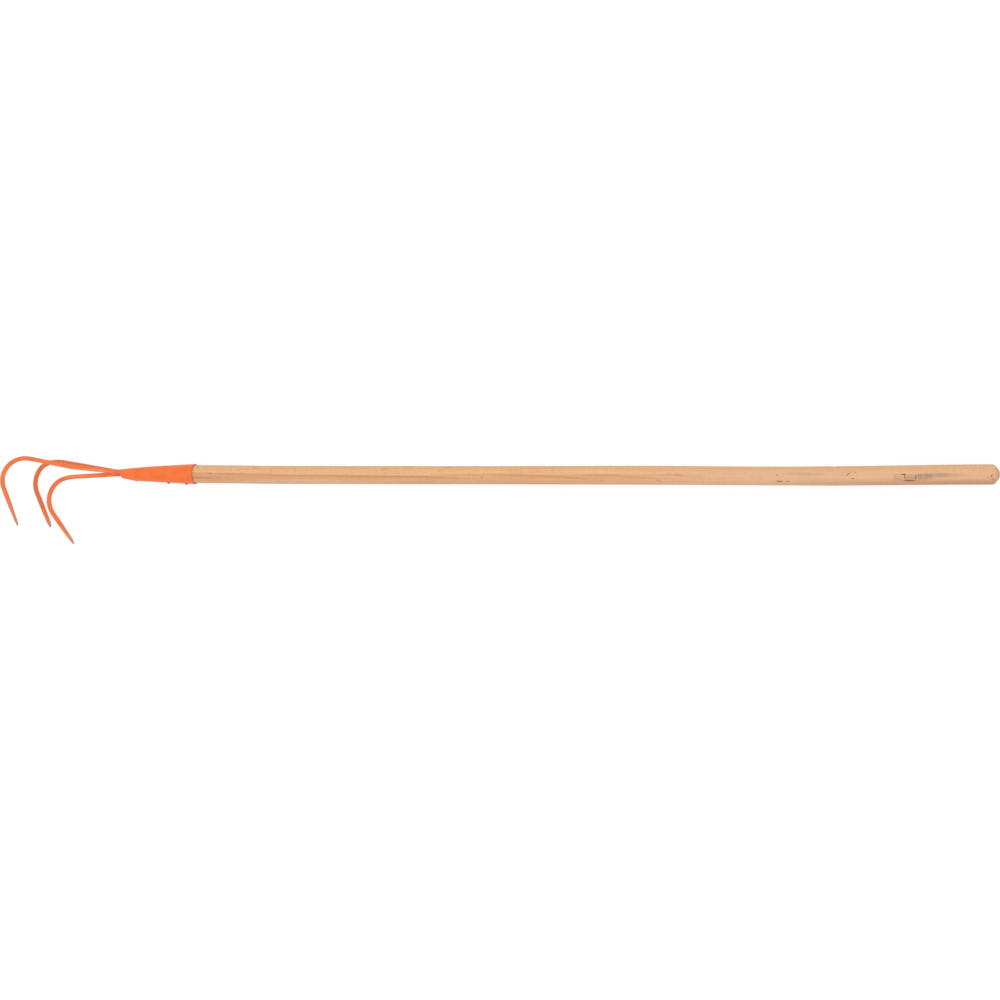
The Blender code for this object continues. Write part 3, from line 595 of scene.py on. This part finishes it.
def spray_enamel(piece, name, code, gloss=0.36):
    """Orange enamel from a spray gun: even and half glossy, with faint clouds and an orange peel.

    A cured alkyd enamel has an IOR near 1.5 and a roughness of 0.3 to 0.5. The real peel is
    0.5 mm across, and is drawn at 2 mm so that it shows.
    """
    tree, shader, along = add_material(piece, name)
    clouds = add_node(tree, "ShaderNodeTexNoise", {"Vector": along, "Scale": 75.0, "Detail": 3.0})
    cloud_tint = add_node(tree, "ShaderNodeValToRGB", {0: clouds.outputs[0]},
                          [(0.32, linear("F1E9E2")), (0.5, linear("FAF6F2")),
                           (0.66, linear("FFFFFF"))])
    colour = add_node(tree, "ShaderNodeMix", {0: 0.7, 6: linear(code), 7: cloud_tint.outputs[0]},
                      data_type="RGBA", blend_type="MULTIPLY").outputs[2]
    # dust nibs, a few tenths of a millimetre across on the real tool and 0.6 mm here
    nibs = add_node(tree, "ShaderNodeTexVoronoi", {"Vector": along, "Scale": 190.0})
    nib_dark = add_node(tree, "ShaderNodeMapRange", {0: nibs.outputs["Distance"], 1: 0.12, 2: 0.04,
                                                     4: 0.18})
    colour = add_node(tree, "ShaderNodeMix", {0: nib_dark.outputs[0], 6: colour,
                                              7: linear("B4502A")}, data_type="RGBA").outputs[2]
    peel = add_node(tree, "ShaderNodeTexNoise", {"Vector": along, "Scale": 480.0, "Detail": 2.0})
    height = add_node(tree, "ShaderNodeMath", {0: nib_dark.outputs[0], 1: 2.5, 2: peel.outputs[0]},
                      operation="MULTIPLY_ADD")
    relief = add_node(tree, "ShaderNodeBump", {"Height": height.outputs[0], "Strength": 0.3,
                                               "Distance": 0.0003})
    tree.links.new(relief.outputs[0], shader.inputs["Normal"])
    sheen = add_node(tree, "ShaderNodeMapRange", {0: clouds.outputs[0], 1: 0.3, 2: 0.7,
                                                  3: gloss + 0.06, 4: gloss - 0.03})
    tree.links.new(sheen.outputs[0], shader.inputs["Roughness"])
    shader.inputs["Specular IOR Level"].default_value = 0.35
    return tree, shader, along, colour


# The socket's paint is worn brown along its mouth, where the rolled edge shows its steel, and that
# band is also painted shade of the rolled edge. Painted shade darkens the neck, where the rods
# crowd in, and the paint is darker round the nails and the plug.
tree, shader, along, colour = spray_enamel(socket, "sprayed_enamel", "FB7733")
apart = add_node(tree, "ShaderNodeSeparateXYZ", {0: along})
chips = add_node(tree, "ShaderNodeTexNoise", {"Vector": along, "Scale": 330.0, "Detail": 4.0,
                                              "Roughness": 0.7})
chip_reach = 0.0022
mouth_place = add_node(tree, "ShaderNodeMath", {0: chips.outputs[0], 1: chip_reach,
                                                2: apart.outputs["X"]}, operation="MULTIPLY_ADD")
mouth_wear_and_shade = add_node(tree, "ShaderNodeMapRange", {0: mouth_place.outputs[0], 1: -0.0046,
                                                   2: 0.0012}, interpolation_type="SMOOTHSTEP")
mouth_wear_and_shade_tint = add_node(tree, "ShaderNodeValToRGB", {0: mouth_wear_and_shade.outputs[0]},
                      [(0.0, linear("FB7733")), (0.55, linear("F47535")), (0.9, linear("E87338")),
                       (1.0, linear("D9713F"))])
mouth_wear_and_shade_share = add_node(tree, "ShaderNodeMath", {0: mouth_wear_and_shade.outputs[0], 1: 1.6},
                       operation="MULTIPLY", use_clamp=True)
colour = add_node(tree, "ShaderNodeMix", {0: mouth_wear_and_shade_share.outputs[0], 6: colour,
                                          7: mouth_wear_and_shade_tint.outputs[0]}, data_type="RGBA").outputs[2]
neck_shade = add_node(tree, "ShaderNodeMapRange", {0: apart.outputs["X"], 1: -0.1090, 2: lip_x,
                                                   4: 0.4})
colour = add_node(tree, "ShaderNodeMix", {0: neck_shade.outputs[0], 6: colour, 7: linear("E3683A")},
                  data_type="RGBA").outputs[2]
for centre, half_sizes, tint, strength in (
        ((mouth_nail_x, -0.0139, 0.0), (0.0052, 0.003, 0.0052), "B4532C", 0.6),
        ((inner_nail_x, -0.0124, 0.0), (0.0056, 0.003, 0.0056), "8E4528", 0.7),
        ((plug_x, -0.0098, 0.0), (0.0056, 0.003, 0.0056), "CB5A2C", 0.6)):
    colour = add_mark(tree, along, colour, tint, strength, centre, half_sizes)
tree.links.new(colour, shader.inputs["Base Color"])


# Prongs
# Three bars of 6.6 mm round steel. Each has its point hammered flat, is bent round a former, and
# goes down the socket's neck. They are sprayed with the socket, and use wears their points bare.
rod_sides = 24
ring_step, fine_step = 0.0026, 0.0015
forged_length, point_length, point_end = 0.042, 0.0105, 0.0014
point_curve = 0.62              # under 1, the point keeps its thickness and then rounds off
flat_roundness = 0.88           # how far the hammered flat is from a round section
finish_allowance = 1.002        # what the subdivision takes off a bar's radius
in_neck, neck_bend_radius = 0.0331, 0.025
rod_end = neck_x + 0.0341       # each bar ends this far down the socket
blows_reach = 1.3               # the hammer's marks fade out past the forged length


class Rod:
    """A round bar drawn from its point to its root: extruded where straight and spun where bent."""

    def __init__(self, name, flat_thickness, flat_width):
        bpy.ops.mesh.primitive_plane_add(size=0.001, rotation=(0, math.pi / 2, 0))
        self.piece = start_piece(name)
        bpy.ops.mesh.bevel(offset_type="PERCENT", offset_pct=36, segments=rod_sides // 4 - 1,
                           affect="VERTICES")
        self.flat_thickness = flat_thickness
        self.flat_width = flat_width
        self.at = Vector((0, 0, 0))
        self.heading = Vector((1, 0, 0))
        self.forge(0.0)

    def half_size(self, flat, from_point):
        """Half of the bar's size across, where its hammered flat measures flat."""
        if from_point < point_length:
            share = (from_point / point_length) ** point_curve
            return (point_end + (flat - point_end) * share) / 2 * finish_allowance
        flattened = smooth_step((forged_length - from_point) / (forged_length - point_length))
        return (rod_radius * (1 - flattened) + flat / 2 * flattened) * finish_allowance

    def forge(self, from_point):
        """Gives the end ring its thickness and width, this far from the point."""
        flattened = smooth_step((forged_length - from_point) / (forged_length - point_length))
        bpy.ops.transform.tosphere(value=1.0 - flat_roundness * flattened)
        self.piece.update_from_editmode()
        ring = [v.co - self.at for v in self.piece.data.vertices if v.select]
        thick = self.half_size(self.flat_thickness, from_point) / max(abs(v.y) for v in ring)
        wide = self.half_size(self.flat_width, from_point) / max(abs(v.z) for v in ring)
        bpy.ops.transform.resize(value=(1, thick, wide), center_override=self.at)

    def straight(self, length, step=ring_step, forged_from=None):
        """Draws the bar straight on, and forges it where its place from the point is given."""
        count = max(1, round(length / step))
        for i in range(count):
            move = self.heading * (length / count)
            bpy.ops.mesh.extrude_region_move(TRANSFORM_OT_translate={"value": move})
            self.at = self.at + move
            if forged_from is not None:
                self.forge(forged_from + length * (i + 1) / count)

    def bend(self, degrees, radius, axis=(0, 0, 1)):
        """Bends the bar about an axis square to it."""
        axis = Vector(axis)
        angle = math.radians(degrees)
        centre = self.at + axis.cross(self.heading) * radius * (1 if angle > 0 else -1)
        steps = max(2, round(abs(angle) * radius / ring_step))
        bpy.ops.mesh.spin(steps=steps, angle=-angle, center=centre, axis=axis)
        turn = Matrix.Rotation(angle, 4, axis)
        self.at = centre + turn @ (self.at - centre)
        self.heading = turn @ self.heading


def forge_prong(name, flat, root, splay, rise, hook, shank):
    """Draws a prong from its point. shank lists what follows the hook, up to the neck."""
    rod = Rod(name, *flat)
    rod.straight(point_length, fine_step, forged_from=0.0)
    rod.straight(forged_length - point_length, forged_from=point_length)
    rod.straight(hook - forged_length)
    for step in shank:
        if isinstance(step, tuple):
            rod.bend(*step)
        else:
            rod.straight(step)
    # the plane of the bends stands upright in the tool, turned by the splay, and the shank climbs
    splay, climb = math.radians(splay), math.radians(rise)
    level = Vector((-math.cos(splay), 0, math.sin(splay)))
    back = Vector((0, 1, 0))
    away = math.cos(climb) * level + math.sin(climb) * back
    square = math.cos(climb) * back - math.sin(climb) * level
    rod_square = rod.heading.cross(Vector((0, 0, 1)))
    here = Matrix((-rod.heading, rod_square, (-rod.heading).cross(rod_square))).transposed()
    there = Matrix((away, square, away.cross(square))).transposed()
    turn = there @ here.inverted()
    into_neck = Vector((1, 0, 0))
    axis = (-away).cross(into_neck)
    if axis.length > 0:
        rod.bend(math.degrees((-away).angle(into_neck)), neck_bend_radius,
                 turn.inverted() @ axis.normalized())
    rod.straight(in_neck)
    place = Matrix.Translation(root + Vector((rod_end, 0, 0)) - turn @ rod.at) @ turn.to_4x4()
    bpy.ops.object.mode_set(mode="OBJECT")
    forged = rod.piece.vertex_groups.new(name="forged")
    for vertex in rod.piece.data.vertices:
        forged.add([vertex.index], smooth_step(blows_reach - vertex.co.length / forged_length),
                   "REPLACE")
    bpy.ops.object.mode_set(mode="EDIT")
    dents = bpy.data.textures.new(name + "_dents", "CLOUDS")
    dents.noise_scale = 0.014
    blows = bpy.data.textures.new(name + "_blows", "VORONOI")
    blows.noise_scale = 0.0075
    lay_down(rod.piece, ("SUBSURF", {"levels": 1, "render_levels": 1}),
             ("DISPLACE", {"texture": dents, "strength": 0.00014, "mid_level": 1.0,
                           "texture_coords": "LOCAL"}),
             ("DISPLACE", {"texture": blows, "strength": 0.00024, "mid_level": 1.0,
                           "texture_coords": "LOCAL", "vertex_group": "forged"}), place=place)
    return rod.piece, place.translation, away


# each one's name and node, the flat's thickness and width, its root, splay and rise in degrees, the
# length of its hook, its bends and straights up to the neck, and the tints of its enamel and of the
# film and painted highlight on its flat
prongs = (
    ("left_hook", "left_prong", (0.0043, 0.0084), rod_roots[0], 13.4, 5.9, 0.0591,
     ((118.4, 0.0327), (3.2, 0.080), 0.0547, (-5.0, 0.080), 0.0585), "F47A3B", "D98B6B"),
    # its enamel is drawn darker than the others' as painted shade, for it lies lowest and behind
    ("right_hook", "right_prong", (0.0053, 0.0074), rod_roots[1], -13.9, 8.7, 0.0589,
     ((103.6, 0.0314), (22.6, 0.080), 0.1010), "E8743E", "EB8A60"),
    ("centre_hook", "centre_prong", (0.0050, 0.0076), rod_roots[2], 0.0, -3.1, 0.0561,
     ((112.0, 0.0336), (12.0, 0.080), 0.0692), "F27B41", "E88A62"),
)
for name, node, flat, root, splay, rise, hook, shank, code, film_and_highlight in prongs:
    prong, point, away = forge_prong(name, flat, root, splay, rise, hook, shank)
    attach(prong, "root")
    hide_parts(node)
    # the pinkish film on the hammered flat is partly thinned enamel and partly painted highlight,
    # and the enamel is rubbed off the very point
    tree, shader, along, colour = spray_enamel(prong, "sprayed_enamel_on_" + name, code, 0.4)
    film_and_highlight_reach = 0.055 if node == "left_prong" else 0.038
    colour = add_mark(tree, along, colour, film_and_highlight, 0.75, point, [film_and_highlight_reach] * 3, core=0.2)
    colour = add_mark(tree, along, colour, "B98672", 0.85, point, [0.0085] * 3, core=0.3)
    colour = add_mark(tree, along, colour, "8D7F78", 0.8, point, [0.0034] * 3, core=0.4)
    # painted shade darkens it where the rods crowd together in the neck
    neck_shade_strength = 0.4 if node == "left_prong" else 0.65
    in_lip = root + Vector((neck_x + 0.001, 0, 0))
    colour = add_mark(tree, along, colour, "D65F2C", neck_shade_strength, in_lip, [0.010] * 3, core=0.3)
    shank_start = root + Vector((neck_x, 0, 0))
    along_shank = (-away).to_track_quat("X", "Z").to_euler()
    if node == "left_prong":
        # a painted highlight along the lower side of the left shank
        shank_highlight = shank_start + 0.030 * away + Vector((0, -0.0017, 0.0028))
        colour = add_mark(tree, along, colour, "FA9A68", 0.8, shank_highlight, (0.031, 0.0011, 0.0016),
                          along_shank, core=0.5)
    elif node == "centre_prong":
        # a lighter streak along the upper side of the centre shank
        lighter_streak = shank_start + 0.062 * away + Vector((0, 0.0004, 0.0030))
        colour = add_mark(tree, along, colour, "F6935E", 0.6, lighter_streak, (0.040, 0.0022, 0.0020),
                          along_shank, core=0.4)
    tree.links.new(colour, shader.inputs["Base Color"])


# Welds
# Two beads of arc weld under the same enamel. One fills the valleys between the rods in front of
# the socket's lip. The other is a plug through the underside of the neck, down on the centre rod.
outer_bead = ((-0.1135, 0.0030), (-0.1172, 0.0027), (-0.1190, 0.0019), (-0.1197, 0.0009))
centre_bead = ((-0.1135, 0.0030), (-0.1185, 0.0028), (-0.1204, 0.0020), (-0.1212, 0.0010))
neck_bead = hull_over_rods("neck_bead", outer_bead, centre_bead)
ripples = bpy.data.textures.new("weld_ripples", "CLOUDS")
ripples.noise_scale = 0.0022
lay_down(neck_bead, ("REMESH", {"mode": "VOXEL", "voxel_size": 0.00035}),
         ("SMOOTH", {"factor": 0.5, "iterations": 6}),
         ("DISPLACE", {"texture": ripples, "strength": 0.0013, "mid_level": 0.72,
                       "texture_coords": "LOCAL"}))
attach(neck_bead, "root")
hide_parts("neck_weld")
# the bead's enamel is drawn darker than the socket's, as painted shade in the valleys between the
# rods
tree, shader, along, colour = spray_enamel(neck_bead, "enamel_over_neck_weld", "DC6430", 0.45)
tree.links.new(colour, shader.inputs["Base Color"])


def draw_up(name, sides, profile):
    """Raises a round piece about +Z: profile gives its radii and heights, from the base up."""
    radius, at = profile[0]
    bpy.ops.mesh.primitive_circle_add(vertices=sides, radius=radius, fill_type="NGON",
                                      location=(0, 0, at))
    piece = start_piece(name)
    for next_radius, height in profile[1:]:
        growth = next_radius / radius
        bpy.ops.mesh.extrude_region_move(TRANSFORM_OT_translate={"value": (0, 0, height - at)})
        bpy.ops.transform.resize(value=(growth, growth, 1), center_override=(0, 0, height))
        radius, at = next_radius, height
    return piece


def under_socket(x, lean=0.0):
    """The place that stands a piece raised about +Z on the socket's underside, leant a little."""
    rise = (socket_mouth_radius - cone_end_height) / socket_length
    surface = Vector((x, -socket_mouth_radius - rise * x, 0))
    turn = Matrix.Rotation(math.radians(lean) - math.atan(rise), 4, "Z")
    return Matrix.Translation(surface) @ turn @ Matrix.Rotation(math.pi / 2, 4, "X")


round_sides = 28
plug = draw_up("plug_cap", round_sides, (
    (0.0020, -0.0024), (0.0021, -0.0005), (0.0023, -0.0001), (0.0021, 0.0002), (0.0016, 0.00045),
    (0.0010, 0.0006), (0.0004, 0.00065)))
lay_down(plug, ("SUBSURF", {"levels": 1, "render_levels": 1}),
         ("DISPLACE", {"texture": ripples, "strength": 0.0005, "mid_level": 0.6,
                       "texture_coords": "LOCAL"}), place=under_socket(plug_x))
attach(plug, "root")
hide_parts("plug_weld")
tree, shader, along, colour = spray_enamel(plug, "enamel_over_plug_weld", "E86A33", 0.45)
tree.links.new(colour, shader.inputs["Base Color"])


# Nails
# Two wire nails, driven through holes in the socket's underside into the shaft, so that it can't
# pull out. Their heads are dented by the hammer, and were partly caught by the spray.
hammering = bpy.data.textures.new("hammering", "CLOUDS")
hammering.noise_scale = 0.0016
shank_radius = 0.0014
nails = (                       # node, place, lean, radius of the head, tint, share painted
    ("mouth_nail", mouth_nail_x, 4.0, 0.0029, "9A6A55", 0.62),
    ("inner_nail", inner_nail_x, -3.0, 0.0025, "5B463B", 0.25),
)
for node, x, lean, head, code, painted in nails:
    nail = draw_up(node + "_head", round_sides, (
        (0.0003, -0.0180), (shank_radius, -0.0140), (shank_radius, -0.0005), (shank_radius, 0.0001),
        (head * 0.94, 0.0002), (head, 0.0004), (head, 0.0008), (head * 0.92, 0.0011),
        (head * 0.7, 0.00125), (head * 0.35, 0.0013), (head * 0.1, 0.0013)))
    lay_down(nail, ("SUBSURF", {"levels": 1, "render_levels": 1}),
             ("DISPLACE", {"texture": hammering, "strength": 0.0004, "mid_level": 0.8,
                           "texture_coords": "LOCAL"}), place=under_socket(x, lean))
    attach(nail, "root")
    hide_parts(node)
    # bright drawn wire gone dull: dark grey-brown oxide at a roughness of 0.5, and flecks of paint
    tree, shader, along = add_material(nail, "oxidised_wire_of_" + node)
    oxide = add_node(tree, "ShaderNodeTexNoise", {"Vector": along, "Scale": 900.0, "Detail": 4.0})
    oxide_tint = add_node(tree, "ShaderNodeValToRGB", {0: oxide.outputs[0]},
                          [(0.35, linear("3E2C24")), (0.5, linear(code)), (0.68, linear("8B7568"))])
    paint_place = add_node(tree, "ShaderNodeTexNoise", {"Vector": along, "Scale": 420.0,
                                                        "Detail": 3.0})
    paint_share = add_node(tree, "ShaderNodeMapRange", {
        0: paint_place.outputs[0], 1: 0.72 - painted * 0.4, 2: 0.80 - painted * 0.4})
    colour = add_node(tree, "ShaderNodeMix", {0: paint_share.outputs[0], 6: oxide_tint.outputs[0],
                                              7: linear("C9653C")}, data_type="RGBA").outputs[2]
    tree.links.new(colour, shader.inputs["Base Color"])
    bare = add_node(tree, "ShaderNodeMath", {0: 0.75, 1: paint_share.outputs[0]},
                    operation="SUBTRACT", use_clamp=True)
    tree.links.new(bare.outputs[0], shader.inputs["Metallic"])
    pits = add_node(tree, "ShaderNodeBump", {"Height": oxide.outputs[0], "Strength": 0.5,
                                             "Distance": 0.0002})
    tree.links.new(pits.outputs[0], shader.inputs["Normal"])
    shader.inputs["Roughness"].default_value = 0.5
